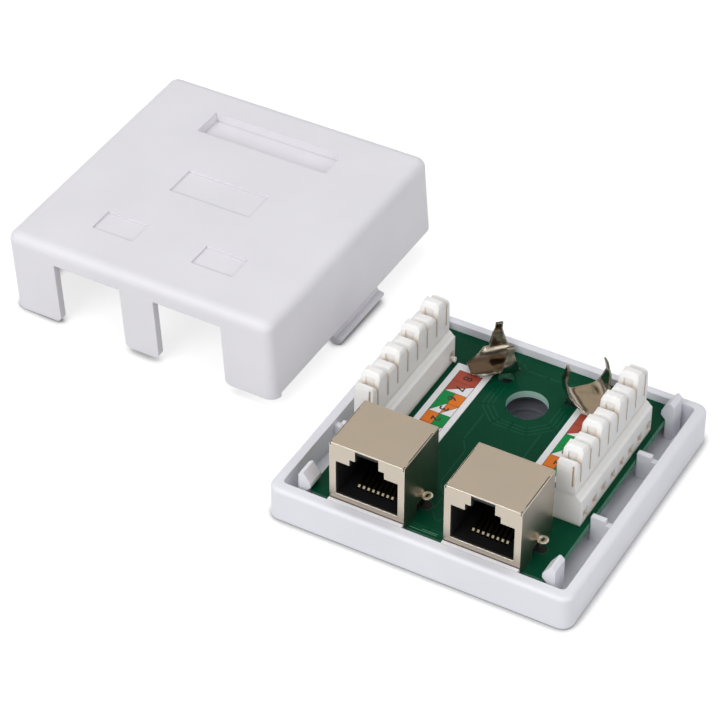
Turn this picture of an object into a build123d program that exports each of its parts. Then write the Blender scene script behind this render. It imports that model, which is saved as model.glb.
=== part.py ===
from build123d import *
import math
import os

os.makedirs("parts", exist_ok=True)

# All sizes are millimetres. The origin is the middle of the tray's underside,
# +X is to the right, the sockets face -Y and +Z is up.

# Tray
tray_width = 64.0
tray_depth = 62.0
tray_height = 8.0
tray_floor = 2.0
tray_corner = 2.5
rim_round = 1.0
foot_round = 0.4
side_wall = 2.25
back_wall = 2.2
front_wall = 2.35
port_pad_gap = 0.15
port_pad_slope = 0.35
front_hook_gap = 1.45
back_hook_gap = 0.6
screw_hole = 4.4
screw_head = 8.4
screw_sink = 1.0
rib_positions = (-8.2, 12.0)
rib_thick = 1.2
rib_step = 1.45
rib_step_drop = 1.0
core_slots = ((4.0, 6.0), (17.5, 5.0))
core_slot_width = 1.3

# Circuit board
board_width = 50.4
board_front_gap = 1.95
board_back_gap = 0.3
board_thick = 1.6
board_top = 6.5
board_corner = 1.0
board_clearance = 0.15
access_hole = 8.5
access_x = 0.0
access_from_back = 13.3
clip_hole = 3.2
clip_hole_x = 7.3
clip_hole_from_back = 8.0
pad_size = 3.0

# Snap hooks that hold the board down
hook_length = 3.9
hook_thick = 1.7
hook_height = 10.8
hook_nose = 0.8
hook_nose_low = 1.0
hook_nose_high = 1.9
hook_gap = 0.12

# Sockets
jack_pitch = 24.2
jack_width = 15.9
jack_length = 13.4
jack_overhang = 0.9
jack_top = 21.75
sheet = 0.3
shield_gap = 0.05
seam = 0.2
seam_inset = 1.8
port_wide = 13.2
port_wide_top = 4.3
port_bottom = 12.4
port_shoulder = 7.4
port_shoulder_top = 2.8
port_latch = 5.0
port_lip = 0.15
port_depth = 11.4
pin_count = 8
pin_pitch = 1.016
pin_width = 0.45
pin_thick = 0.25
pin_front = 3.4
pin_back = 10.6
pin_rise = 3.0
pin_groove = 0.6
lug_outer = 2.3
lug_slot = 1.5
lug_slot_width = 0.6
lug_from_face = 7.4
lug_reach = 0.95
lug_height = 2.9
foot_window_from_face = 6.6
foot_window_length = 3.0
foot_window_height = 2.2

# Punch down terminal blocks
left_block_x = -21.7
right_block_x = 21.2
block_width = 5.8
comb_width = 4.05
comb_shift = 0.5
ledge_width = 0.7
ledge_rise = 0.55
ledge_step = 0.15
block_from_jack = 3.5
slot_pitch = 3.96
slot_count = 8
tooth_thick = 3.5
first_tooth = 1.8
end_tooth = 1.1
shoulder_z = 12.5
shoulder_top = 13.7
slot_floor = 15.6
short_top = 21.5
tall_top = 22.8
tooth_lead = ((0.0, 2.7), (0.3, 1.3), (0.8, 0.3), (1.1, 0.0))
tooth_round = 0.95
chamber_width = 1.9
chamber_depth = 0.4
side_groove = 0.4
side_groove_x = 1.35
window_z = 8.4
window_width = 1.9
window_height = 2.0
window_depth = 0.8
boss_radius = 0.55
boss_reach = 0.8
blade_thick = 0.4
blade_width = 3.2
blade_top = 18.8
blade_slit = 0.4
blade_slit_depth = 2.6
blade_clearance = 0.08

# Wiring labels on the board
label_width = 7.7
label_lead = 0.7
label_clip_gap = 2.8
label_thick = 0.15
left_label_x = -13.75
right_label_x = 12.85

# Cable screen clips
clip_x = 9.0
clip_from_back = 5.9
clip_turn = 47.0
clip_sheet = 0.4
clip_flat = 2.6
clip_bend = 3.0
clip_sweep = 62.0
clip_lift = 1.2
clip_tongue = 9.2
clip_end = 3.6
clip_arm_base = 4.2
clip_arm_tip = 1.5
clip_arm_height = 8.9
clip_arm_lean = 0.5
clip_foot = 3.0

# Cover
cover_height = 19.2
cover_wall = 1.6
cover_draft = 0.7
cover_corner = 2.5
cover_round = 2.2
notch_clearance = 0.1
notch_top = 14.9
leg_round = 1.3
wall_lift = 0.9
leg_wrap = 2.3
label_recess_width = 31.6
label_recess_from_back = 15.1
label_recess_length = 7.2
label_recess_depth = 2.2
name_recess_width = 19.4
name_recess_from_back = 34.6
name_recess_length = 7.4
icon_recess_width = 9.8
icon_recess_front = 10.0
icon_recess_length = 5.8
icon_pitch = 24.0
shallow_recess = 0.4
recess_skin = 1.2
tongue_thick = 1.2
tongue_gap = 0.15
tongue_barb = 0.9
tongue_lean = 1.9
tongue_length = 17.1
tongue_clearance = 0.3
tab_from_back = 12.0
tab_length = 8.0
barb_height = 1.4

# Where the cover lies beside the tray, tilted on its own snap tongues
cover_x = -109.64
cover_y = -1.86
cover_yaw = -1.97
cover_pitch = 2.4
cover_roll = -2.0

# Values that follow from the ones above
jack_centres = (-jack_pitch / 2, jack_pitch / 2)
inner_x = tray_width / 2 - side_wall
inner_front = -tray_depth / 2 + front_wall
inner_back = tray_depth / 2 - back_wall
board_edge = board_width / 2
board_front = inner_front + board_front_gap
board_back = inner_back - board_back_gap
board_bottom = board_top - board_thick
access_y = board_back - access_from_back
clip_hole_y = board_back - clip_hole_from_back
clip_y = board_back - clip_from_back
jack_face = board_front - jack_overhang
lug_y = jack_face + lug_from_face
foot_window_y = jack_face + foot_window_from_face
block_front = jack_face + jack_length + block_from_jack
label_front = block_front - label_lead
label_back = clip_y - label_clip_gap
front_hook_y = inner_front + front_hook_gap
back_hook_y = inner_back - back_hook_gap - hook_length
label_recess_front = tray_depth - label_recess_from_back
name_recess_front = tray_depth - name_recess_from_back
tab_front = tray_depth - tab_from_back
port_floor = jack_top - port_bottom
notch_width = jack_width + 2 * notch_clearance
slot_gap = slot_pitch - tooth_thick
block_back = block_front + first_tooth + slot_count * slot_pitch - tooth_thick + end_tooth


def box(x0, x1, y0, y1, z0, z1):
    """A block given by its two limits along each axis."""
    block = Box(x1 - x0, y1 - y0, z1 - z0)
    return Pos((x0 + x1) / 2, (y0 + y1) / 2, (z0 + z1) / 2) * block


def plate_xz(points, y0, y1):
    """A flat outline in the XZ plane carried along Y."""
    face = make_face(Polyline(*points, close=True))
    solid = extrude(Plane.XZ * face, amount=y1 - y0)
    return Pos(0, y1, 0) * solid


def plate_yz(points, x0, x1):
    """A flat outline in the YZ plane carried along X."""
    face = make_face(Polyline(*points, close=True))
    solid = extrude(Plane.YZ * face, amount=x1 - x0)
    return Pos(x0, 0, 0) * solid


def mirrored(shape):
    """The same piece on the other side of the YZ plane."""
    return mirror(shape, about=Plane.YZ)


def one_solid(shape):
    """The single solid of a result, checked."""
    solids = shape.solids()
    assert len(solids) == 1, len(solids)
    return solids[0]


def save(shape, name):
    """Write one named piece."""
    export_step(one_solid(shape), "parts/" + name + ".step")


def snap_hook(y0):
    """One hook on the right side of the tray, its nose over the board edge."""
    inner = board_edge + board_clearance
    outer = inner + hook_thick
    nose_z = board_top + hook_gap
    profile = [
        (inner, tray_floor - 0.5),
        (outer, tray_floor - 0.5),
        (outer, hook_height - 0.7),
        (outer - 0.7, hook_height),
        (outer - 1.1, hook_height),
        (board_edge - hook_nose, nose_z + hook_nose_high),
        (board_edge - hook_nose, nose_z + hook_nose_low),
        (inner, nose_z),
    ]
    return plate_xz(profile, y0, y0 + hook_length)


def side_rib(y):
    """One rib between the board edge and the right wall, stepped for the cover."""
    inner = board_edge + board_clearance
    step_x = inner_x - rib_step
    profile = [
        (inner, tray_floor - 0.5),
        (inner_x + 0.5, tray_floor - 0.5),
        (inner_x + 0.5, tray_height - rib_step_drop),
        (step_x, tray_height - rib_step_drop),
        (step_x, tray_height),
        (inner, tray_height),
    ]
    return plate_xz(profile, y - rib_thick / 2, y + rib_thick / 2)


# The right tongue and the left tab fit between the ribs of the tray when closed
tongue_front = rib_positions[0] + rib_thick / 2 + tongue_clearance + tray_depth / 2
tongue_back = tongue_front + tongue_length
tongue_outer = side_wall + tongue_gap
lean = -math.tan(math.radians(cover_roll))
slope = math.tan(math.radians(cover_pitch))
tongue_reach = lean * (tray_width - tongue_outer + tongue_lean) + slope * tongue_front
tab_reach = lean * (tongue_outer - tongue_lean) + slope * tab_front


def make_tray():
    outline = RectangleRounded(tray_width, tray_depth, tray_corner)
    tray = extrude(outline, amount=tray_height)
    tray = fillet(tray.faces().sort_by(Axis.Z)[-1].edges(), rim_round)
    tray = chamfer(tray.faces().sort_by(Axis.Z)[0].edges(), foot_round)
    well = box(-inner_x, inner_x, inner_front, inner_back, tray_floor, tray_height + 1)
    well = fillet(well.edges().filter_by(Axis.Z), tray_corner - 1.5)
    tray = tray - well
    # Pads that close the gap between the rim and the faces of the sockets
    for x in jack_centres:
        half = jack_width / 2
        pad_back = jack_face - port_pad_gap
        profile = [
            (inner_front - 0.5, tray_floor - 0.5),
            (pad_back, tray_floor - 0.5),
            (pad_back, tray_height),
            (inner_front + port_pad_slope, tray_height),
            (inner_front - 0.5, tray_height - rim_round / 4),
        ]
        tray = tray + plate_yz(profile, x - half, x + half)
    # Board supports, ribs and hooks, the same on both sides
    pad_x = board_edge - pad_size
    for side in (1, -1):
        for y in (board_front + pad_size, 0.0, board_back - pad_size):
            x0 = side * pad_x - pad_size / 2
            y0 = y - pad_size / 2
            pad = box(x0, x0 + pad_size, y0, y0 + pad_size, tray_floor - 0.5, board_bottom)
            tray = tray + pad
    right = [side_rib(y) for y in rib_positions]
    right.append(snap_hook(front_hook_y))
    right.append(snap_hook(back_hook_y))
    for piece in right:
        tray = tray + piece
        tray = tray + mirrored(piece)
    # Catches for the tongue and the tab of the cover
    catch_top = tray_height - min(tongue_reach, tab_reach) + barb_height + 0.25
    catch_low = tray_height - max(tongue_reach, tab_reach) - 0.35
    catch_deep = tongue_barb - tongue_gap + 0.35
    right_front = tongue_front - tray_depth / 2 - 0.3
    right_back = tongue_back - tray_depth / 2 + 0.3
    tray = tray - box(inner_x, inner_x + catch_deep, right_front, right_back, catch_low, catch_top)
    left_front = tab_front - tray_depth / 2 - 0.3
    left_back = left_front + tab_length + 0.6
    tray = tray - box(-inner_x - catch_deep, -inner_x, left_front, left_back, catch_low, catch_top)
    # Core openings in the floor beside the walls
    for centre, length in core_slots:
        slot = box(
            inner_x - core_slot_width,
            inner_x,
            centre - length / 2,
            centre + length / 2,
            -1,
            tray_floor + 1,
        )
        tray = tray - slot
        tray = tray - mirrored(slot)
    # Wall screw hole under the access hole of the board
    place = Pos(access_x, access_y, 0)
    tray = tray - place * Cylinder(screw_hole / 2, 3 * tray_floor)
    tray = tray - place * Pos(0, 0, tray_floor) * Cylinder(screw_head / 2, 2 * screw_sink)
    return tray


def make_board():
    board = box(-board_edge, board_edge, board_front, board_back, board_bottom, board_top)
    board = chamfer(board.edges().filter_by(Axis.Z), board_corner)
    board = board - Pos(access_x, access_y, board_top) * Cylinder(access_hole / 2, 4 * board_thick)
    for x in (-clip_hole_x, clip_hole_x):
        board = board - Pos(x, clip_hole_y, board_top) * Cylinder(clip_hole / 2, 4 * board_thick)
    return board


def port_outline(shrink):
    """Half width and limits of the stepped socket opening, as boxes in X and Z."""
    low = port_floor + shrink
    return [
        (port_wide / 2 - shrink, low, jack_top - port_wide_top - shrink),
        (port_shoulder / 2 - shrink, low, jack_top - port_shoulder_top - shrink),
        (port_latch / 2 - shrink, low, jack_top - sheet - 0.8 - shrink),
    ]


def make_shield(x):
    half = jack_width / 2
    back = jack_face + jack_length
    shell = box(x - half, x + half, jack_face, back, board_top, jack_top)
    shell = fillet(shell.edges().filter_by(Axis.Y).group_by(Axis.Z)[-1], sheet)
    shell = shell - box(
        x - half + sheet,
        x + half - sheet,
        jack_face + sheet,
        back - sheet,
        board_top - 1,
        jack_top - sheet,
    )
    for wide, low, high in port_outline(0):
        shell = shell - box(x - wide, x + wide, jack_face - 1, jack_face + sheet, low, high)
    latch = port_latch / 2
    top_cut = jack_top - 2
    shell = shell - box(x - latch, x + latch, jack_face - 1, jack_face + sheet, top_cut, jack_top - sheet)
    # Fold seams between the top and the sides, and the openings at the foot
    for side in (1, -1):
        edge = x + side * (half - 0.25)
        x0 = edge - seam / 2
        x1 = edge + seam / 2
        notch = 3 * sheet
        shell = shell - box(x0, x1, jack_face - 1, jack_face + notch, jack_top - notch, jack_top + 1)
        seam_front = jack_face + seam_inset
        seam_back = back - seam_inset
        shell = shell - box(x0, x1, seam_front, seam_back, jack_top - sheet - seam, jack_top + 1)
        wall = x + side * half
        window_front = foot_window_y - foot_window_length / 2
        shell = shell - box(
            wall - 0.5,
            wall + 0.5,
            window_front,
            window_front + foot_window_length,
            board_top - 1,
            board_top + foot_window_height,
        )
        # Earthing lug with a slotted eye
        lug_x = wall + side * lug_reach
        lug_z = board_top + lug_height
        x0 = min(wall - side * sheet, lug_x)
        x1 = max(wall - side * sheet, lug_x)
        tail = box(x0, x1, lug_y - 0.6, lug_y + 0.6, lug_z, lug_z + sheet)
        eye = Pos(lug_x, lug_y, lug_z) * extrude(Circle(lug_outer / 2), amount=sheet)
        slot = extrude(Rot(Z=90) * SlotOverall(lug_slot, lug_slot_width), amount=sheet)
        shell = shell + tail + eye
        shell = shell - Pos(lug_x, lug_y, lug_z) * slot
    return shell


def make_housing(x):
    half = jack_width / 2 - sheet - shield_gap
    front = jack_face + sheet + shield_gap
    back = jack_face + jack_length - sheet - shield_gap
    top = jack_top - sheet - shield_gap
    body = box(x - half, x + half, front, back, board_top, top)
    for wide, low, high in port_outline(port_lip):
        body = body - box(x - wide, x + wide, front - 1, jack_face + port_depth, low, high)
    # Grooves that carry the contact springs
    groove_low = port_floor + port_lip - pin_groove
    for index in range(pin_count):
        pin_x = x + (index - (pin_count - 1) / 2) * pin_pitch
        groove = box(
            pin_x - pin_groove / 2,
            pin_x + pin_groove / 2,
            jack_face + pin_front - 0.5,
            jack_face + pin_back + 0.3,
            groove_low,
            port_floor + port_lip + 1,
        )
        body = body - groove
    return body


def make_pin(x):
    """One spring contact: a flat foot in its groove and an arm that rises to the back."""
    low = port_floor + port_lip - pin_groove
    front = jack_face + pin_front
    back = jack_face + pin_back
    tip_y = back - 1.2
    tip_z = low + pin_groove + pin_rise
    profile = [
        (front, low),
        (back, low),
        (back, low + pin_thick),
        (front + 1.5, low + pin_thick),
        (tip_y, tip_z - pin_thick),
        (tip_y, tip_z),
        (front + 0.4, low + 0.9),
        (front, low + 0.55),
    ]
    return plate_yz(profile, x - pin_width / 2, x + pin_width / 2)


def slot_y(index):
    """Middle of one wire slot along the block."""
    return block_front + first_tooth + slot_gap / 2 + index * slot_pitch


def make_block_base(side, x):
    """The lower terminal housing with a stepped ledge beside the comb and side windows."""
    half = block_width / 2
    comb_x = x - comb_shift
    comb = comb_width / 2
    ledge = x + half - ledge_width
    ledge_z = shoulder_z + ledge_rise
    profile = [
        (x - half, board_top),
        (x + half, board_top),
        (x + half, shoulder_z),
        (ledge, ledge_z),
        (ledge, ledge_z + ledge_step),
        (comb_x + comb, shoulder_top),
        (comb_x - comb, shoulder_top),
        (x - half, shoulder_z),
    ]
    body = plate_xz(profile, block_front, block_back)
    cut = Box(2 * window_depth, window_width, window_height)
    for index in range(slot_count):
        body = body - Pos(x + side * half, slot_y(index), window_z) * cut
        body = body - blade_pocket(comb_x, slot_y(index))
    # One window and a locating boss on the side that faces the board's middle
    inner = x - side * half
    body = body - Pos(inner, slot_y(slot_count - 1), window_z) * cut
    boss = Rot(Y=90) * Cylinder(boss_radius, 2 * boss_reach)
    return body + Pos(inner, block_back - 2 * boss_radius, board_top + 2 * boss_radius) * boss


def blade_pocket(x, y):
    half = blade_width / 2 + blade_clearance
    thick = blade_thick / 2 + blade_clearance
    return box(x - half, x + half, y - thick, y + thick, board_top - 1, slot_floor + 1)


def make_tooth(x, y0, y1, top, front, back):
    """One tooth: rounded across its width, with lead-in flanks scaled by front and back."""
    half = comb_width / 2
    flank = [(y0 + dy * front, top - drop) for dy, drop in tooth_lead]
    flank += [(y1 - dy * back, top - drop) for dy, drop in reversed(tooth_lead)]
    side = plate_yz([(y0, shoulder_top), *flank, (y1, shoulder_top)], x - half, x + half)
    bend = 0.3 * tooth_round
    corner = [(half, top - tooth_round), (half - bend, top - bend), (half - tooth_round, top)]
    outline = [(x + dx, z) for dx, z in corner]
    outline += [(x - dx, z) for dx, z in reversed(corner)]
    outline += [(x - half, shoulder_top), (x + half, shoulder_top)]
    return side & plate_xz(outline, y0 - 1, y1 + 1)


def make_comb(x):
    """The upper comb: short and tall teeth with a wire slot between each pair."""
    half = comb_width / 2
    body = box(x - half, x + half, block_front, block_back, shoulder_top, slot_floor)
    for index in range(slot_count + 1):
        first = index == 0
        last = index == slot_count
        y0 = block_front if first else slot_y(index - 1) + slot_gap / 2
        y1 = block_back if last else slot_y(index) - slot_gap / 2
        top = tall_top if index % 2 else short_top
        front = 0.25 if first else 1.0
        back = 0.25 if last else 1.0
        if last:
            front = 0.6
        tooth = make_tooth(x, y0, y1, top, front, back)
        # The wire chamber between two teeth is wider in its middle
        faces = [y for y, open_side in ((y0, not first), (y1, not last)) if open_side]
        for y in faces:
            tooth = tooth - box(
                x - chamber_width / 2,
                x + chamber_width / 2,
                y - chamber_depth,
                y + chamber_depth,
                slot_floor,
                top + 1,
            )
        if index % 2 == 0 and not last:
            groove_x = x + side_groove_x
            tooth = tooth - box(
                groove_x - side_groove / 2,
                groove_x + side_groove / 2,
                y0 - side_groove,
                y0 + side_groove,
                slot_floor,
                top - tooth_round,
            )
        body = body + tooth
    for index in range(slot_count):
        body = body - blade_pocket(x, slot_y(index))
    return body


def make_blade(x, index):
    """One forked contact that stands on the board in the wire slot."""
    y = slot_y(index)
    half = blade_width / 2
    slit = blade_slit / 2
    profile = [
        (x - half, board_top),
        (x + half, board_top),
        (x + half, blade_top - 0.6),
        (x + half - 0.6, blade_top),
        (x + slit + 0.4, blade_top),
        (x + slit, blade_top - 0.6),
        (x + slit, blade_top - blade_slit_depth),
        (x - slit, blade_top - blade_slit_depth),
        (x - slit, blade_top - 0.6),
        (x - slit - 0.4, blade_top),
        (x - half + 0.6, blade_top),
        (x - half, blade_top - 0.6),
    ]
    return plate_xz(profile, y - blade_thick / 2, y + blade_thick / 2)


def clip_section(thickness):
    """Cross section of the trough: a flat floor and two swept up wings."""
    flat = clip_flat / 2
    turn = math.radians(clip_sweep)
    middle = math.radians(clip_sweep / 2)
    inner = clip_bend
    outer = clip_bend + thickness

    def at(radius, angle):
        return (flat + radius * math.sin(angle), outer - radius * math.cos(angle))

    def flip(point):
        return (-point[0], point[1])

    outline = Line((-flat, 0), (flat, 0))
    outline += ThreePointArc((flat, 0), at(outer, middle), at(outer, turn))
    outline += Line(at(outer, turn), at(inner, turn))
    outline += ThreePointArc(at(inner, turn), at(inner, middle), (flat, thickness))
    outline += Line((flat, thickness), (-flat, thickness))
    outline += ThreePointArc((-flat, thickness), flip(at(inner, middle)), flip(at(inner, turn)))
    outline += Line(flip(at(inner, turn)), flip(at(outer, turn)))
    outline += ThreePointArc(flip(at(outer, turn)), flip(at(outer, middle)), (-flat, 0))
    return make_face(outline)


def make_clip():
    """The right clip: a trough with two tapered arms and a joggled foot."""
    trough = extrude(Plane.XZ * clip_section(clip_sheet), amount=clip_tongue)
    trough = Pos(0, clip_arm_base / 2, clip_lift) * trough
    # The wings narrow from the arms to the end of the tongue
    end = clip_arm_base / 2 - clip_tongue
    turn = math.radians(clip_sweep)
    wing = clip_flat / 2 + (clip_bend + clip_sheet) * math.sin(turn)
    rim = clip_lift + clip_bend + clip_sheet - (clip_bend + clip_sheet / 2) * math.cos(turn)
    for side in (1, -1):
        corner = [
            (side * (wing + 1), end - 1),
            (side * clip_end / 2, end - 1),
            (side * clip_end / 2, end),
            (side * (wing + 0.2), -clip_arm_base / 2),
            (side * (wing + 1), -clip_arm_base / 2),
        ]
        face = make_face(Polyline(*corner, close=True))
        trough = trough - extrude(face, amount=12)
    arm_x = wing - clip_sheet
    half = clip_arm_base / 2
    tip = clip_arm_tip / 2
    lift = clip_arm_height
    outline = [
        (-half, rim - 0.5),
        (half, rim - 0.5),
        (half * 0.62, rim + (lift - rim) * 0.35),
        (tip, rim + (lift - rim) * 0.7),
        (tip, lift),
        (-tip, lift),
        (-tip, rim + (lift - rim) * 0.7),
        (-half * 0.62, rim + (lift - rim) * 0.35),
    ]
    clip = trough
    for side in (1, -1):
        blank = plate_yz(outline, -3, 3)
        bend_z = rim + (lift - rim) * 0.45
        path = [
            (arm_x - 0.25, rim - 0.6),
            (arm_x + clip_sheet - 0.05, rim - 0.6),
            (arm_x + clip_sheet + clip_arm_lean, bend_z),
            (arm_x + clip_sheet - 0.2, lift),
            (arm_x - 0.2, lift),
            (arm_x + clip_arm_lean, bend_z),
        ]
        strip = plate_xz(path, -half, half)
        arm = strip & (Pos(arm_x, 0, 0) * blank)
        if side < 0:
            arm = mirrored(arm)
        clip = clip + arm
    foot = box(-clip_foot / 2, clip_foot / 2, half - clip_sheet, half, 0, clip_lift + clip_sheet)
    pad = box(-clip_foot / 2, clip_foot / 2, half - clip_foot, half, 0, clip_sheet)
    clip = clip + foot + pad
    return Pos(clip_x, clip_y, board_top) * Rot(Z=clip_turn) * clip


def make_label(x):
    half = label_width / 2
    return box(
        x - half,
        x + half,
        label_front,
        label_back,
        board_top,
        board_top + label_thick,
    )


def cover_shell(inset, height):
    """A drafted block with rounded corners, inset from the outside of the cover."""
    width = tray_width - 2 * inset
    depth = tray_depth - 2 * inset
    radius = max(cover_corner - inset, 0.9)
    shell = extrude(RectangleRounded(width, depth, radius), amount=height, taper=cover_draft)
    return Pos(tray_width / 2, tray_depth / 2, 0) * shell


def make_tongue(outer, front, length, reach):
    """A snap tongue on the right wall, sprung outwards, with a barb at its end."""
    low = -reach
    x1 = outer
    x0 = outer - tongue_thick
    tip = outer + tongue_lean
    root = wall_lift + 2.5
    barb_z = low + barb_height
    profile = [
        (tip - tongue_thick, low),
        (tip, low),
        (tip + tongue_barb, low + barb_height * 0.5),
        (tip + tongue_barb, barb_z),
        (tip - 0.3, barb_z + 0.2),
        (x1, wall_lift - 0.05),
        (tray_width - 0.5, wall_lift + 0.02),
        (tray_width - 0.5, root),
        (x0, root),
        (x0, wall_lift),
    ]
    return plate_xz(profile, front, front + length)


def make_cover():
    cover = cover_shell(0, cover_height)
    cover = fillet(cover.faces().sort_by(Axis.Z)[-1].edges(), cover_round)
    hollow = cover_shell(cover_wall, cover_height - cover_wall)
    # The label recess is deeper than the wall, so it has its own floor inside
    middle = tray_width / 2
    half = label_recess_width / 2
    back = label_recess_front + label_recess_length
    label_floor = cover_height - label_recess_depth
    pocket_skin = box(
        middle - half - recess_skin,
        middle + half + recess_skin,
        label_recess_front - recess_skin,
        back + recess_skin,
        label_floor - recess_skin,
        cover_height,
    )
    cover = cover - (hollow - pocket_skin)
    cover = cover - box(
        middle - half, middle + half, label_recess_front, back, label_floor, cover_height + 1
    )
    shallow = cover_height - shallow_recess
    half = name_recess_width / 2
    cover = cover - box(
        middle - half,
        middle + half,
        name_recess_front,
        name_recess_front + name_recess_length,
        shallow,
        cover_height + 1,
    )
    half = icon_recess_width / 2
    for x in (middle - icon_pitch / 2, middle + icon_pitch / 2):
        cover = cover - box(
            x - half,
            x + half,
            icon_recess_front,
            icon_recess_front + icon_recess_length,
            shallow,
            cover_height + 1,
        )
    # Side and back walls stop short of the legs and leave a shadow line
    cover = cover - box(-1, tray_width + 1, leg_wrap, tray_depth + 1, -1, wall_lift)
    for centre in jack_centres:
        x0 = middle + centre - notch_width / 2
        cover = cover - box(x0, x0 + notch_width, -1, cover_wall + 2, -1, notch_top)
        for x in (x0, x0 + notch_width):
            edges = [
                edge
                for edge in cover.edges().filter_by(Axis.Y)
                if abs(edge.center().X - x) < 0.01 and abs(edge.center().Z) < 0.01
            ]
            cover = fillet(edges, leg_round)
    right = make_tongue(
        tray_width - tongue_outer, tongue_front, tongue_back - tongue_front, tongue_reach
    )
    left = make_tongue(tray_width - tongue_outer, tab_front, tab_length, tab_reach)
    left = Pos(tray_width, 0, 0) * mirrored(left)
    cover = cover + right + left
    place = Pos(cover_x, cover_y, 0) * Rot(Z=cover_yaw) * Rot(X=cover_pitch) * Rot(Y=cover_roll)
    cover = place * cover
    lowest = cover.bounding_box().min.Z
    return Pos(0, 0, -lowest) * cover


save(make_tray(), "base_tray")
save(make_board(), "circuit_board")
for name, centre in (("left", jack_centres[0]), ("right", jack_centres[1])):
    save(make_shield(centre), name + "_jack_shield")
    save(make_housing(centre), name + "_jack_housing")
    for index in range(pin_count):
        pin_x = centre + (index - (pin_count - 1) / 2) * pin_pitch
        save(make_pin(pin_x), name + "_jack_contact_" + str(index + 1))
for name, side, centre in (("left", -1, left_block_x), ("right", 1, right_block_x)):
    comb_x = centre - comb_shift
    save(make_block_base(side, centre), name + "_terminal_base")
    save(make_comb(comb_x), name + "_terminal_comb")
    for index in range(slot_count):
        save(make_blade(comb_x, index), name + "_terminal_contact_" + str(index + 1))
clip = make_clip()
save(clip, "right_screen_clip")
save(mirrored(clip), "left_screen_clip")
save(make_label(left_label_x), "left_wiring_label")
save(make_label(right_label_x), "right_wiring_label")
save(make_cover(), "cover")
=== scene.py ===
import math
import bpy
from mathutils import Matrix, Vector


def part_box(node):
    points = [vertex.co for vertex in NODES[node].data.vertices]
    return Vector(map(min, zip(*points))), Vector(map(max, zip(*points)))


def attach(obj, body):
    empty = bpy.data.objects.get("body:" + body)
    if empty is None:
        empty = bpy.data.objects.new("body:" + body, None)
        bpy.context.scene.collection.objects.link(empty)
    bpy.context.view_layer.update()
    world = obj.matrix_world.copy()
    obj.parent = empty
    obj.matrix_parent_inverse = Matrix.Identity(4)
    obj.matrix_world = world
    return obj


bl_info = {
    "name": "Surface network box looks",
    "version": (1, 0, 0),
    "blender": (4, 5, 0),
    "location": "View3D > Sidebar > Network box",
    "description": "Finishes the pieces of a surface mount network box and sets its stage",
    "category": "Object",
}

import bpy
from mathutils import Vector

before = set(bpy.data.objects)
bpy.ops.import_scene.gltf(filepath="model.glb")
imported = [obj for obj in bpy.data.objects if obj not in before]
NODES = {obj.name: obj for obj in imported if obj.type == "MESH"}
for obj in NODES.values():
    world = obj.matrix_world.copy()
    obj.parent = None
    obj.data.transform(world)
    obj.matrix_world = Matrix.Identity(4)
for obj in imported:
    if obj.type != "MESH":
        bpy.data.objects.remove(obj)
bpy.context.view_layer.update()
MM = 0.001
MICRON = 0.000001
ROOT = "root"
SIDES = ("left", "right")
CONTACTS = 8
WHITE = (1.0, 1.0, 1.0, 1.0)
BLACK = (0.0, 0.0, 0.0, 1.0)

# The access hole in the board, over the screw well of the tray, in millimetres
HOLE_X = 0.0
HOLE_Y = 15.2
HOLE_WALL_RADIUS = 4.235
# Radius of the painted shade round the screw well
WELL_SHADE_RADIUS = 9.0

# Heights of the printed and very thin pieces above what carries them, in millimetres
TRACK_RISE = 0.006
FIELD_RISE = 0.008
FRONT_LINE_RISE = 0.009
PAD_RISE = 0.011
LABEL_LINE_RISE = 0.014
LUG_HOLE_RISE = 0.016
NUMBER_RISE = 0.02


# Small helpers


def linear(red, green, blue):
    """A colour given on the 0 to 255 scale, as linear light with alpha 1."""

    def one(value):
        value = value / 255
        return value / 12.92 if value <= 0.04045 else ((value + 0.055) / 1.055) ** 2.4

    return (one(red), one(green), one(blue), 1.0)


def settings(context):
    """The sizes and colours that a user would change."""
    return context.scene.network_box


class Tree:
    """A node tree with the few calls that the floor, the world and the finishes share."""

    def __init__(self, tree):
        self.nodes = tree.nodes
        self.links = tree.links
        self.nodes.clear()

    def add(self, kind, **values):
        node = self.nodes.new(kind)
        for key, value in values.items():
            setattr(node, key, value)
        return node

    def join(self, source, output, target, socket):
        self.links.new(source.outputs[output], target.inputs[socket])

    def ramp(self, source, output, stops):
        """Colours by position, from the source's output."""
        node = self.add("ShaderNodeValToRGB")
        self.join(source, output, node, "Fac")
        elements = node.color_ramp.elements
        for element, (position, colour) in zip(elements, stops):
            element.position = position
            element.color = colour
        for position, colour in stops[2:]:
            elements.new(position).color = colour
        return node

    def maths(self, operation, first, output, second, other):
        """One sum on the outputs of two nodes."""
        node = self.add("ShaderNodeMath", operation=operation)
        self.join(first, output, node, 0)
        self.join(second, other, node, 1)
        return node


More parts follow.
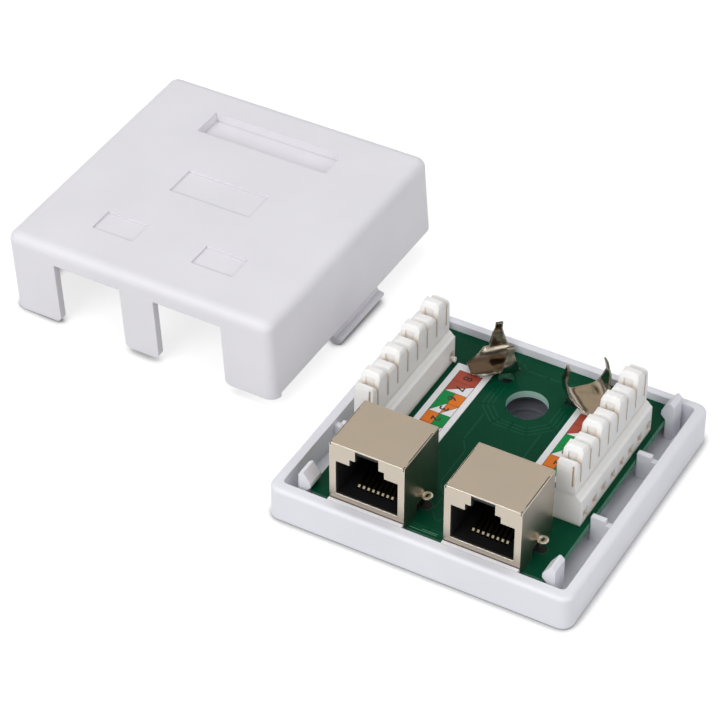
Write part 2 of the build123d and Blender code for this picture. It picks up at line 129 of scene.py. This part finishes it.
class Finish(Tree):
    """A material whose colour, gloss and relief follow the place on the piece."""

    def __init__(self, name):
        self.material = bpy.data.materials.new(name)
        self.material.use_nodes = True
        super().__init__(self.material.node_tree)
        self.out = self.add("ShaderNodeOutputMaterial")
        self.shader = self.add("ShaderNodeBsdfPrincipled")
        self.join(self.shader, "BSDF", self.out, "Surface")
        self.coords = self.add("ShaderNodeTexCoord")

    def noise(self, scale, detail=2.0, rough=0.5):
        node = self.add("ShaderNodeTexNoise")
        node.inputs["Scale"].default_value = scale
        node.inputs["Detail"].default_value = detail
        node.inputs["Roughness"].default_value = rough
        self.join(self.coords, "Object", node, "Vector")
        return node

    def drift(self, scale, low, high):
        """A colour that drifts slowly between two."""
        return self.ramp(self.noise(scale, 3.0), "Fac", [(0.3, low), (0.7, high)])

    def gloss(self, noise, roughness, uneven):
        """Roughness that follows the noise, by the same amount to both sides."""
        node = self.add("ShaderNodeMapRange")
        self.join(noise, "Fac", node, "Value")
        node.inputs["From Min"].default_value = 0.3
        node.inputs["From Max"].default_value = 0.7
        node.inputs["To Min"].default_value = roughness - uneven
        node.inputs["To Max"].default_value = roughness + uneven
        self.join(node, "Result", self.shader, "Roughness")

    def relief(self, noise, height, edge):
        """Surface grain, over softened edges when edge is given."""
        bump = self.add("ShaderNodeBump")
        bump.inputs["Strength"].default_value = 1.0
        bump.inputs["Distance"].default_value = height
        self.join(noise, "Fac", bump, "Height")
        if edge:
            bevel = self.add("ShaderNodeBevel", samples=4)
            bevel.inputs["Radius"].default_value = edge
            self.join(bevel, "Normal", bump, "Normal")
        self.join(bump, "Normal", self.shader, "Normal")
        return bump

    def waves(self, noise, height, fine):
        """Slow waves of a bent sheet, laid over its fine grain."""
        bump = self.add("ShaderNodeBump")
        bump.inputs["Distance"].default_value = height
        self.join(noise, "Fac", bump, "Height")
        self.join(fine, "Normal", bump, "Normal")
        self.join(bump, "Normal", self.shader, "Normal")

    def upright(self):
        """The face's own normal, split, so that Z tells how far it looks up."""
        geometry = self.add("ShaderNodeNewGeometry")
        split = self.add("ShaderNodeSeparateXYZ")
        self.join(geometry, "True Normal", split, "Vector")
        return split

    def levelness(self):
        """1 on faces that look up or down, 0 on upright ones."""
        size = self.add("ShaderNodeMath", operation="ABSOLUTE")
        self.join(self.upright(), "Z", size, 0)
        return size

    def tinted(self, source, tint):
        """The source colour, multiplied by another."""
        blend = self.add("ShaderNodeMixRGB", blend_type="MULTIPLY")
        blend.inputs["Fac"].default_value = 1.0
        self.join(source, "Color", blend, "Color1")
        self.join(tint, "Color", blend, "Color2")
        return blend

    def by_normal(self, source, edge):
        """The source colour on faces that look up or down, another on upright edges."""
        blend = self.add("ShaderNodeMixRGB")
        self.join(self.levelness(), "Value", blend, "Fac")
        blend.inputs["Color1"].default_value = edge
        self.join(source, "Color", blend, "Color2")
        return blend

    def shade_on_lying(self, source, tint):
        """The source colour, darkened by painted shade where the sheet lies flat and looks up."""
        ramp = self.ramp(self.upright(), "Z", [(0.8, WHITE), (0.94, tint)])
        return self.tinted(source, ramp)

    def shade_in_hollows(self, source, tint, reach, flat_only):
        """The source colour, darkened by painted shade where walls close by shut the surface in."""
        open_air = self.add("ShaderNodeAmbientOcclusion", samples=4)
        open_air.inputs["Distance"].default_value = reach
        blend = self.tinted(source, self.ramp(open_air, "AO", [(0.3, tint), (0.9, WHITE)]))
        if flat_only:
            self.join(self.levelness(), "Value", blend, "Fac")
        return blend

    def highlight_along_folds(self, source, width):
        """The source colour, with a painted highlight in a narrow line along each fold."""
        bevel = self.add("ShaderNodeBevel", samples=8)
        bevel.inputs["Radius"].default_value = width
        geometry = self.add("ShaderNodeNewGeometry")
        turn = self.add("ShaderNodeVectorMath", operation="DOT_PRODUCT")
        self.join(bevel, "Normal", turn, 0)
        self.join(geometry, "True Normal", turn, 1)
        fold = self.ramp(turn, "Value", [(0.9, WHITE), (0.995, BLACK)])
        blend = self.add("ShaderNodeMixRGB")
        self.join(fold, "Color", blend, "Fac")
        self.join(source, "Color", blend, "Color1")
        # Colour of the painted highlight
        blend.inputs["Color2"].default_value = linear(246, 240, 226)
        return blend

    def shade_round_well(self, source, x, y, radius):
        """The source colour, greyed by painted shade round an upright axis, such as a screw's well."""
        centred = self.add("ShaderNodeMapping")
        centred.inputs["Location"].default_value = (-x / radius, -y / radius, 0.0)
        centred.inputs["Scale"].default_value = (1 / radius / MM, 1 / radius / MM, 0.0)
        self.join(self.coords, "Object", centred, "Vector")
        far = self.add("ShaderNodeVectorMath", operation="LENGTH")
        self.join(centred, "Vector", far, 0)
        # Colour of the painted shade at the middle of the well
        well_shade_grey = linear(128, 130, 136)
        return self.tinted(source, self.ramp(far, "Value", [(0.75, well_shade_grey), (1.0, WHITE)]))


def shade(colour, factor):
    """The colour, lighter or darker by a factor."""
    return tuple(min(c * factor, 1.0) for c in colour[:3]) + (1.0,)


def moulded(
    name,
    colour,
    roughness,
    grain,
    edge=0.0,
    vary=0.03,
    grain_scale=3200.0,
    tint=None,
    reach=0.9,
    flat_only=False,
    rim=None,
    well_shade=None,
    shine=0.5,
    depth=0.0,
):
    """Moulded plastic: slight colour drift, uneven gloss and a fine grain.

    Grain is in microns, and edge, reach, well and depth are in millimetres. Tint colours the
    hollows with painted shade, rim colours the upright faces, well puts painted shade round a
    screw's well, and depth is how far light goes into the plastic.
    """
    finish = Finish(name)
    paint = finish.drift(55.0, shade(colour, 1 - vary), shade(colour, 1 + vary / 2))
    if tint:
        paint = finish.shade_in_hollows(paint, tint, reach * MM, flat_only)
    if rim:
        paint = finish.by_normal(paint, rim)
    if well_shade:
        paint = finish.shade_round_well(paint, *well_shade)
    shader = finish.shader
    finish.join(paint, "Color", shader, "Base Color")
    shader.inputs["Specular IOR Level"].default_value = shine
    shader.inputs["IOR"].default_value = 1.5
    if depth:
        shader.inputs["Subsurface Weight"].default_value = 0.35
        shader.inputs["Subsurface Radius"].default_value = (1.0, 0.92, 0.8)
        shader.inputs["Subsurface Scale"].default_value = depth * MM
    finish.gloss(finish.noise(260.0, 4.0), roughness, 0.05)
    finish.relief(finish.noise(grain_scale, 2.0, 0.6), grain * MICRON, edge * MM)
    return finish.material


def plated(
    name,
    colour,
    roughness,
    grain,
    edge=0.0,
    vary=0.05,
    uneven=0.05,
    waves=0.0,
    fold_highlight=0.0,
    lying_shade=None,
):
    """Plated sheet metal: warm tint that drifts, brushed gloss and faint relief.

    Grain is in microns, and edge, waves and the fold highlight are in millimetres. The fold highlight
    is the width of the painted highlight line along each fold, and the colour for lying sheet is
    painted shade on what looks up.
    """
    finish = Finish(name)
    paint = finish.drift(140.0, shade(colour, 1 - vary), shade(colour, 1 + vary))
    if fold_highlight:
        paint = finish.highlight_along_folds(paint, fold_highlight * MM)
    if lying_shade:
        paint = finish.shade_on_lying(paint, lying_shade)
    finish.join(paint, "Color", finish.shader, "Base Color")
    finish.shader.inputs["Metallic"].default_value = 1.0
    brushed = finish.noise(900.0, 3.0)
    finish.gloss(brushed, roughness, uneven)
    fine = finish.relief(brushed, grain * MICRON, edge * MM)
    if waves:
        finish.waves(finish.noise(210.0, 0.5), waves * MM, fine)
    return finish.material


def dress(node, material):
    """Puts a finish on every material slot of a CAD node."""
    obj = NODES[node]
    if not obj.material_slots:
        obj.data.materials.append(material)
    for slot in obj.material_slots:
        slot.material = material


def joined(made, name, material):
    """The pieces made one, under the name given, with one finish when one is given."""
    nothing_selected()
    for obj in made:
        obj.select_set(True)
    bpy.context.view_layer.objects.active = made[0]
    bpy.ops.object.join()
    obj = named(name)
    if material:
        obj.data.materials.clear()
        obj.data.materials.append(material)
    return obj


def strips(name, lines, width, height, material):
    """Thin flat bars between pairs of points, in millimetres, as one piece."""
    made = []
    for x0, y0, x1, y1 in lines:
        nothing_selected()
        bpy.ops.mesh.primitive_plane_add(
            size=1.0,
            location=((x0 + x1) / 2 * MM, (y0 + y1) / 2 * MM, height),
            rotation=(0, 0, math.atan2(y1 - y0, x1 - x0)),
        )
        bar = bpy.context.object
        bar.scale = ((math.hypot(x1 - x0, y1 - y0) + width) * MM, width * MM, 1.0)
        made.append(bar)
    return joined(made, name, material)


def nothing_selected():
    """Object mode, with nothing selected."""
    if bpy.context.object and bpy.context.object.mode != "OBJECT":
        bpy.ops.object.mode_set(mode="OBJECT")
    bpy.ops.object.select_all(action="DESELECT")


def named(name):
    """The active object, named, with its place put into its mesh, riding on the box."""
    obj = bpy.context.object
    obj.name = name
    obj.data.name = name
    bpy.ops.object.transform_apply(location=True, rotation=True, scale=True)
    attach(obj, ROOT)
    return obj


# What a user would change


def colour_prop(name, description, default):
    return bpy.props.FloatVectorProperty(
        name=name, description=description, subtype="COLOR", size=4, min=0.0, max=1.0, default=default
    )


class NetworkBoxSettings(bpy.types.PropertyGroup):
    cover_colour: colour_prop("Cover", "Cover plastic", linear(237, 235, 239))
    tray_colour: colour_prop("Tray", "Tray plastic", linear(238, 238, 244))
    board_colour: colour_prop("Board", "Solder mask of the circuit board", linear(6, 72, 49))
    shield_colour: colour_prop("Shield", "Plated sheet of the sockets", linear(192, 182, 167))
    terminal_colour: colour_prop("Terminal", "Punch down block plastic", linear(252, 250, 246))
    clip_colour: colour_prop("Clip", "Plated spring sheet", linear(176, 168, 154))
    # Darker than gold plating: painted shade for the contacts deep inside the sockets
    shaded_gold_colour: colour_prop("Gold", "Plating of the socket contacts", linear(88, 82, 68))
    floor_white: bpy.props.FloatProperty(
        name="Floor lift",
        description="Light that the floor adds for a white ground",
        default=0.74,
        min=0.0,
        max=1.0,
        subtype="FACTOR",
    )
    lens: bpy.props.FloatProperty(
        name="Lens", description="Focal length on a 36 mm sensor", default=148.36, unit="CAMERA"
    )
    azimuth: bpy.props.FloatProperty(
        name="Azimuth",
        description="Camera direction round the box",
        default=math.radians(29.28),
        subtype="ANGLE",
    )
    elevation: bpy.props.FloatProperty(
        name="Elevation",
        description="Camera height angle",
        default=math.radians(40.41),
        subtype="ANGLE",
    )
    distance: bpy.props.FloatProperty(
        name="Distance",
        description="Camera to the point that it looks at",
        default=0.60032,
        unit="LENGTH",
    )
    aim: bpy.props.FloatVectorProperty(
        name="Aim",
        description="Point that the camera looks at",
        default=(-0.03889, 0.01772, 0.0),
        subtype="XYZ",
    )


# The pieces


class NETBOX_OT_shell(bpy.types.Operator):
    """Finish the moulded cover and tray"""

    bl_idname = "netbox.shell"
    bl_label = "Cover and tray"

    def execute(self, context):
        values = settings(context)
        cover = moulded(
            "cover_plastic",
            values.cover_colour,
            roughness=0.42,
            grain=12.0,
            edge=0.2,
            # Painted shade in the creases of the recesses, on level faces only
            tint=linear(218, 217, 221),
            reach=0.7,
            flat_only=True,
        )
        tray = moulded(
            "tray_plastic",
            values.tray_colour,
            roughness=0.38,
            grain=8.0,
            edge=0.2,
            # Painted shade on the tray floor seen through the access hole
            well_shade=(HOLE_X, HOLE_Y, WELL_SHADE_RADIUS),
        )
        dress("cover", cover)
        dress("base_tray", tray)
        return {"FINISHED"}


class NETBOX_OT_board(bpy.types.Operator):
    """Finish the circuit board"""

    bl_idname = "netbox.board"
    bl_label = "Circuit board"

    def execute(self, context):
        colour = settings(context).board_colour
        mask = moulded(
            "solder_mask",
            colour,
            roughness=0.3,
            grain=3.0,
            vary=0.14,
            grain_scale=900.0,
            rim=linear(84, 142, 114),
            shine=0.06,
        )
        dress("circuit_board", mask)
        lighter = shade(colour, 1.38)
        track = moulded("covered_track", lighter, roughness=0.3, grain=2.0, vary=0.1, shine=0.12)
        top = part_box("circuit_board")[1].z
        height = top + TRACK_RISE * MM
        strips("board_tracks", self.tracks(), self.track_width, height, track)
        pale = moulded("pale_line", linear(96, 160, 128), roughness=0.4, grain=2.0, vary=0.08)
        lines = [(-3.7, -26.1, 1.9, -26.1), (-1.2, -25.7, 1.9, -25.7)]
        height = top + FRONT_LINE_RISE * MM
        strips("board_front_lines", lines, self.line_width, height, pale)
        self.lug_holes(track, top)
        self.hole_wall()
        return {"FINISHED"}

    # Widths, and a lug's hole: inwards from the side and back from the front of its shield
    track_width = 0.28
    line_width = 0.14
    lug_from_side = 1.7
    lug_from_front = 8.0
    pad_radius = 1.55
    lug_hole_radius = 1.25

    def hole_wall(self):
        """The pale cut wall of the access hole, just inside the board's own."""
        low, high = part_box("circuit_board")
        nothing_selected()
        bpy.ops.mesh.primitive_cylinder_add(
            vertices=64,
            radius=HOLE_WALL_RADIUS * MM,
            depth=high.z - low.z,
            end_fill_type="NOTHING",
            location=(HOLE_X * MM, HOLE_Y * MM, (low.z + high.z) / 2),
        )
        bpy.ops.object.mode_set(mode="EDIT")
        bpy.ops.mesh.flip_normals()
        bpy.ops.object.mode_set(mode="OBJECT")
        bpy.ops.object.shade_smooth()
        wall = named("access_hole_wall")
        laminate = moulded("cut_laminate", linear(168, 204, 192), roughness=0.5, grain=10.0, vary=0.12)
        wall.data.materials.append(laminate)

    def lug_holes(self, ring, top):
        """Where each lug goes through the board: its pad, and a flat dark disc painted as the shade in
        its hole.
        """
        pads = []
        hole_shades = []
        # A flat dark disc on the board, painted shade standing in for the shadowed inside of the lug's
        # hole
        hole = moulded("hole_shade_dark", linear(10, 14, 12), roughness=0.6, grain=2.0)
        kinds = (
            (pads, self.pad_radius, PAD_RISE),
            (hole_shades, self.lug_hole_radius, LUG_HOLE_RISE),
        )
        for side in SIDES:
            low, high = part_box(side + "_jack_shield")
            y = low.y + self.lug_from_front * MM
            inwards = self.lug_from_side * MM
            for x in (low.x + inwards, high.x - inwards):
                for made, radius, rise in kinds:
                    nothing_selected()
                    place = (x, y, top + rise * MM)
                    bpy.ops.mesh.primitive_circle_add(
                        vertices=24, radius=radius * MM, fill_type="NGON", location=place
                    )
                    made.append(bpy.context.object)
        joined(pads, "lug_pads", ring)
        joined(hole_shades, "lug_holes", hole)

    def tracks(self):
        """The faint tracks under the solder mask, the same on both halves, as ends x, y, x, y."""
        half = [
            (0.0, -25.5, 3.6, -25.5),
            (0.0, -24.9, 3.6, -24.9),
            (0.0, -22.6, 2.0, -20.2),
            (2.0, -20.2, 2.0, -15.8),
            (2.0, -15.8, 4.4, -12.6),
            (4.4, -12.6, 4.4, -2.4),
            (4.4, -2.4, 6.2, 0.2),
            (6.2, 0.2, 6.2, 8.6),
            (3.0, 8.9, 6.2, 12.1),
            (6.2, 12.1, 6.2, 17.4),
            (0.0, 8.9, 3.0, 8.9),
            (0.0, 8.0, 3.4, 8.0),
            (3.4, 8.0, 7.1, 11.7),
            (7.1, 11.7, 7.1, 16.9),
            (0.0, 7.1, 3.8, 7.1),
            (3.8, 7.1, 8.0, 11.3),
            (8.0, 11.3, 8.0, 16.2),
            (0.0, 24.4, 4.6, 24.4),
            (4.6, 24.4, 6.4, 26.2),
            (6.4, 26.2, 14.0, 26.2),
        ]
        return half + [(-x0, y0, -x1, y1) for x0, y0, x1, y1 in half]


class NETBOX_OT_sockets(bpy.types.Operator):
    """Finish the shields, socket bodies and spring contacts"""

    bl_idname = "netbox.sockets"
    bl_label = "Sockets"

    def execute(self, context):
        values = settings(context)
        sheet = plated(
            "shield_plating",
            values.shield_colour,
            roughness=0.3,
            grain=0.2,
            edge=0.2,
            vary=0.015,
            uneven=0.015,
            # A painted highlight along the shield's folds
            fold_highlight=0.16,
        )
        black = moulded("socket_black", linear(9, 9, 11), roughness=0.6, grain=4.0)
        # The contacts' gold plating, darkened as painted shade for their place deep in the socket
        shaded_gold = plated("contact_gold", values.shaded_gold_colour, roughness=0.2, grain=0.4, uneven=0.03)
        tin = plated("solder_tin", linear(236, 230, 214), roughness=0.3, grain=2.0, uneven=0.06)
        self.rings(tin)
        for side in SIDES:
            dress(side + "_jack_shield", sheet)
            dress(side + "_jack_housing", black)
            for index in range(CONTACTS):
                dress(f"{side}_jack_contact_{index + 1}", shaded_gold)
        return {"FINISHED"}

    # A lug's eye: inwards from the side, back from the front of its shield, above the board
    eye_from_side = 1.15
    eye_from_front = 7.4
    eye_height = 3.2
    eye_radius = 0.84
    bead_radius = 0.3

    def rings(self, tin):
        """A bead of tin round the eye of each lug."""
        made = []
        for side in SIDES:
            low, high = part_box(side + "_jack_shield")
            y = low.y + self.eye_from_front * MM
            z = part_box("circuit_board")[1].z + self.eye_height * MM
            inwards = self.eye_from_side * MM
            for x in (low.x + inwards, high.x - inwards):
                nothing_selected()
                bpy.ops.mesh.primitive_torus_add(
                    location=(x, y, z),
                    major_radius=self.eye_radius * MM,
                    minor_radius=self.bead_radius * MM,
                    major_segments=28,
                    minor_segments=8,
                )
                bpy.ops.object.mode_set(mode="EDIT")
                bpy.ops.transform.resize(value=(1.0, 1.0, 0.5), center_override=(x, y, z))
                bpy.ops.object.mode_set(mode="OBJECT")
                bpy.ops.object.shade_smooth()
                made.append(bpy.context.object)
        joined(made, "lug_beads", tin)


class NETBOX_OT_terminals(bpy.types.Operator):
    """Finish the punch down blocks and their contacts"""

    bl_idname = "netbox.terminals"
    bl_label = "Terminal blocks"

    def execute(self, context):
        cream = moulded(
            "terminal_plastic",
            settings(context).terminal_colour,
            roughness=0.42,
            grain=6.0,
            edge=0.25,
            # Warm painted shade in the hollows between the teeth
            tint=linear(222, 202, 182),
            reach=1.3,
            depth=2.5,
        )
        tin = plated("contact_tin", linear(190, 190, 186), roughness=0.3, grain=2.0)
        for side in SIDES:
            dress(side + "_terminal_base", cream)
            dress(side + "_terminal_comb", cream)
            for index in range(CONTACTS):
                dress(f"{side}_terminal_contact_{index + 1}", tin)
        return {"FINISHED"}


class NETBOX_OT_clips(bpy.types.Operator):
    """Finish the two clips for the cable screen"""

    bl_idname = "netbox.clips"
    bl_label = "Screen clips"

    def execute(self, context):
        colour = settings(context).clip_colour
        # Painted shade on the clips' up-facing faces, standing in for a dark reflection: deep on the
        # left clip, lighter on the right
        top_shades = {"left": linear(138, 122, 110), "right": linear(214, 206, 196)}
        for side, top_shade in top_shades.items():
            sheet = plated(
                side + "_clip_plating",
                colour,
                roughness=0.12,
                grain=0.4,
                edge=0.7,
                vary=0.03,
                uneven=0.03,
                waves=0.6,
                lying_shade=top_shade,
            )
            dress(side + "_screen_clip", sheet)
        return {"FINISHED"}


class NETBOX_OT_labels(bpy.types.Operator):
    """Print the wiring order on the two labels"""

    bl_idname = "netbox.labels"
    bl_label = "Wiring labels"

    def execute(self, context):
        paper = moulded("label_film", linear(246, 246, 247), roughness=0.45, grain=2.0)
        inks = {
            name: moulded("ink_" + name, colour, roughness=0.5, grain=2.0, shine=0.2)
            for name, colour in self.ink_colours.items()
        }
        dark = moulded("ink_dark", linear(58, 42, 40), roughness=0.5, grain=2.0)
        for side in SIDES:
            low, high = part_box(side + "_wiring_label")
            dress(side + "_wiring_label", paper)
            left = low.x / MM + self.side_margin
            right = high.x / MM - self.side_margin
            back = high.y / MM - self.back_margin
            self.fields(side, left, right, back, high.z, inks)
            self.outlines(side, left, right, back, high.z, dark)
            self.numbers(side, (left + right) / 2, back, high.z, dark)
        return {"FINISHED"}

    # Sizes in millimetres, then what each row shows from the back to the front
    pitch = 3.35
    side_margin = 1.35
    back_margin = 1.9
    line_width = 0.09
    digit_size = 2.7
    digit_weight = 0.035
    ink_colours = {
        "brown": linear(184, 84, 64),
        "green": linear(14, 150, 74),
        "orange": linear(240, 128, 42),
        "blue": linear(40, 92, 178),
    }
    rows = (
        ("brown",),
        ("brown",),
        ("green", "orange"),
        ("green", "orange"),
        ("orange", "green"),
        ("orange", "green"),
        ("blue",),
        ("blue",),
    )
    digits = "87632145"

    def fields(self, side, left, right, back, top, inks):
        """Colour fields in pairs of rows: whole ones, then ones cut along their diagonal."""
        made = []
        for row, colours in enumerate(self.rows):
            wide = (right - left) / len(colours)
            for column, colour in enumerate(colours):
                place = (
                    (left + (column + 0.5) * wide) * MM,
                    (back - (row + 0.5) * self.pitch) * MM,
                    top + FIELD_RISE * MM,
                )
                nothing_selected()
                bpy.ops.mesh.primitive_plane_add(size=1.0, location=place)
                field = bpy.context.object
                field.data.materials.append(inks[colour])
                if row % 2:
                    bpy.ops.object.mode_set(mode="EDIT")
                    bpy.ops.mesh.select_all(action="SELECT")
                    bpy.ops.mesh.bisect(plane_co=place, plane_no=(1.0, -1.0, 0.0), clear_outer=True)
                    bpy.ops.object.mode_set(mode="OBJECT")
                field.scale = (wide * MM, self.pitch * MM, 1.0)
                made.append(field)
        joined(made, side + "_label_print", None)

    def outlines(self, side, left, right, back, top, dark):
        """Thin dark lines round the fields, between them and along their diagonals."""
        front = back - len(self.rows) * self.pitch
        lines = [(left, back, left, front), (right, back, right, front), (left, front, right, front)]
        for row, colours in enumerate(self.rows):
            y = back - row * self.pitch
            lines.append((left, y, right, y))
            wide = (right - left) / len(colours)
            for column in range(len(colours)):
                x = left + column * wide
                if column:
                    lines.append((x, y, x, y - self.pitch))
                if row % 2:
                    lines.append((x, y - self.pitch, x + wide, y))
        height = top + LABEL_LINE_RISE * MM
        strips(side + "_label_lines", lines, self.line_width, height, dark)

    def numbers(self, side, middle, back, top, dark):
        """One plain number on each row."""
        made = []
        for row, digit in enumerate(self.digits):
            nothing_selected()
            y = (back - (row + 0.5) * self.pitch) * MM
            place = (middle * MM, y, top + NUMBER_RISE * MM)
            bpy.ops.object.text_add(location=place, rotation=(0, 0, math.radians(-90)))
            text = bpy.context.object
            text.data.body = digit
            text.data.size = self.digit_size * MM
            text.data.offset = self.digit_weight * MM
            text.data.align_x = "CENTER"
            text.data.align_y = "CENTER"
            bpy.ops.object.convert(target="MESH")
            made.append(bpy.context.object)
        joined(made, side + "_label_numbers", dark)


class NETBOX_OT_stage(bpy.types.Operator):
    """Set the floor, the studio light and the camera"""

    bl_idname = "netbox.stage"
    bl_label = "Floor, light and camera"

    def execute(self, context):
        values = settings(context)
        scene = context.scene
        scene.view_settings.view_transform = "Standard"
        self.floor(values)
        self.world(scene)
        self.lamps()
        self.camera(scene, values)
        return {"FINISHED"}

    def floor(self, values):
        """Paper that shows white and keeps the shadows; its added glow fades in a thin line under the
        pieces, a painted contact shadow.
        """
        nothing_selected()
        bpy.ops.mesh.primitive_plane_add(size=6.0, location=(0, 0, 0))
        floor = bpy.context.object
        floor.name = "floor"
        material = bpy.data.materials.new("floor_paper")
        material.use_nodes = True
        tree = Tree(material.node_tree)
        out = tree.add("ShaderNodeOutputMaterial")
        diffuse = tree.add("ShaderNodeBsdfDiffuse")
        diffuse.inputs["Color"].default_value = (0.5, 0.5, 0.5, 1)
        glow = tree.add("ShaderNodeEmission")
        glow.inputs["Color"].default_value = WHITE
        path = tree.add("ShaderNodeLightPath")
        seen = tree.maths("MAXIMUM", path, "Is Camera Ray", path, "Is Glossy Ray")
        seen = tree.maths("MAXIMUM", seen, 0, path, "Is Transmission Ray")
        open_air = tree.add("ShaderNodeAmbientOcclusion", samples=6)
        open_air.inputs["Distance"].default_value = self.contact_shadow_reach * MM
        # Painted contact shadow: the floor's white lift fades where a piece stands close
        contact = tree.add("ShaderNodeMapRange")
        contact.inputs["From Min"].default_value = 0.45
        contact.inputs["From Max"].default_value = 0.85
        contact.inputs["To Max"].default_value = values.floor_white
        tree.join(open_air, "AO", contact, "Value")
        lift = tree.maths("MULTIPLY", seen, 0, contact, "Result")
        tree.join(lift, 0, glow, "Strength")
        both = tree.add("ShaderNodeAddShader")
        tree.join(diffuse, 0, both, 0)
        tree.join(glow, 0, both, 1)
        tree.join(both, 0, out, "Surface")
        floor.data.materials.append(material)

    # How near a piece stands to the floor where the painted contact shadow starts, in millimetres
    contact_shadow_reach = 2.4

    # What polished metal sees from straight below, 0, to straight above, 1
    bands = (
        (0.0, (1.0, 1.0, 1.0, 1)),
        (0.22, (1.0, 0.99, 0.96, 1)),
        (0.32, (0.26, 0.23, 0.2, 1)),
        (0.5, (0.26, 0.23, 0.2, 1)),
        (0.57, (1.0, 0.93, 0.85, 1)),
        (0.72, (1.0, 0.93, 0.85, 1)),
        (0.8, (0.14, 0.13, 0.12, 1)),
        (1.0, (0.1, 0.09, 0.08, 1)),
    )

    def world(self, scene):
        """White to the eye, banded in reflections, and soft light for the rest."""
        world = bpy.data.worlds.new("studio")
        scene.world = world
        world.use_nodes = True
        tree = Tree(world.node_tree)
        out = tree.add("ShaderNodeOutputWorld")
        path = tree.add("ShaderNodeLightPath")
        soft = self.background(tree, (0.96, 0.97, 1.0, 1), 0.5)
        white = self.background(tree, WHITE, 1.0)
        studio = self.background(tree, WHITE, 1.0)
        coords = tree.add("ShaderNodeTexCoord")
        split = tree.add("ShaderNodeSeparateXYZ")
        tree.join(coords, "Generated", split, "Vector")
        tree.join(tree.ramp(split, "Z", self.bands), "Color", studio, "Color")
        inner = self.chosen(tree, path, "Is Glossy Ray", soft, studio)
        mix = self.chosen(tree, path, "Is Camera Ray", inner, white)
        tree.join(mix, 0, out, "Surface")

    def background(self, tree, colour, strength):
        node = tree.add("ShaderNodeBackground")
        node.inputs["Color"].default_value = colour
        node.inputs["Strength"].default_value = strength
        return node

    def chosen(self, tree, path, kind, other, meant):
        """One shader for this kind of ray, the other for the rest."""
        mix = tree.add("ShaderNodeMixShader")
        tree.join(path, kind, mix, "Fac")
        tree.join(other, 0, mix, 1)
        tree.join(meant, 0, mix, 2)
        return mix

    # Name, place, size and power of each lamp, and the point that they face, in metres and watts
    lamp_list = (
        ("key", (-0.35, -0.85, 0.72), 0.75, 6.3),
        ("fill", (0.75, -0.35, 0.5), 0.6, 1.9),
        ("top", (-0.1, 0.35, 0.95), 0.6, 0.8),
    )
    lamp_target = (-0.035, 0.01, 0.01)

    def lamps(self):
        target = Vector(self.lamp_target)
        for name, place, size, power in self.lamp_list:
            data = bpy.data.lights.new(name, "AREA")
            data.shape = "SQUARE"
            data.size = size
            data.energy = power
            lamp = bpy.data.objects.new(name, data)
            bpy.context.scene.collection.objects.link(lamp)
            lamp.location = place
            lamp.rotation_euler = (target - Vector(place)).to_track_quat("-Z", "Y").to_euler()

    def camera(self, scene, values):
        azimuth = values.azimuth
        elevation = values.elevation
        back = Vector((
            math.sin(azimuth) * math.cos(elevation),
            -math.cos(azimuth) * math.cos(elevation),
            math.sin(elevation),
        ))
        data = bpy.data.cameras.new("camera")
        data.lens = values.lens
        data.sensor_width = 36.0
        data.clip_start = 0.01
        camera = bpy.data.objects.new("camera", data)
        scene.collection.objects.link(camera)
        camera.location = Vector(values.aim) + back * values.distance
        camera.rotation_euler = (-back).to_track_quat("-Z", "Y").to_euler()
        scene.camera = camera


class NETBOX_PT_panel(bpy.types.Panel):
    """Sidebar list of the pieces"""

    bl_idname = "NETBOX_PT_panel"
    bl_label = "Network box"
    bl_space_type = "VIEW_3D"
    bl_region_type = "UI"
    bl_category = "Network box"

    def draw(self, context):
        layout = self.layout
        values = settings(context)
        for name in NetworkBoxSettings.__annotations__:
            layout.prop(values, name)
        for operator in OPERATORS:
            layout.operator(operator.bl_idname)


OPERATORS = (
    NETBOX_OT_shell,
    NETBOX_OT_board,
    NETBOX_OT_sockets,
    NETBOX_OT_terminals,
    NETBOX_OT_clips,
    NETBOX_OT_labels,
    NETBOX_OT_stage,
)
CLASSES = (NetworkBoxSettings, *OPERATORS, NETBOX_PT_panel)


def register():
    for item in CLASSES:
        bpy.utils.register_class(item)
    bpy.types.Scene.network_box = bpy.props.PointerProperty(type=NetworkBoxSettings)


def unregister():
    del bpy.types.Scene.network_box
    for item in reversed(CLASSES):
        bpy.utils.unregister_class(item)


def main():
    register()
    bpy.ops.netbox.shell()
    bpy.ops.netbox.board()
    bpy.ops.netbox.sockets()
    bpy.ops.netbox.terminals()
    bpy.ops.netbox.clips()
    bpy.ops.netbox.labels()
    bpy.ops.netbox.stage()


if __name__ == "__main__":
    main()
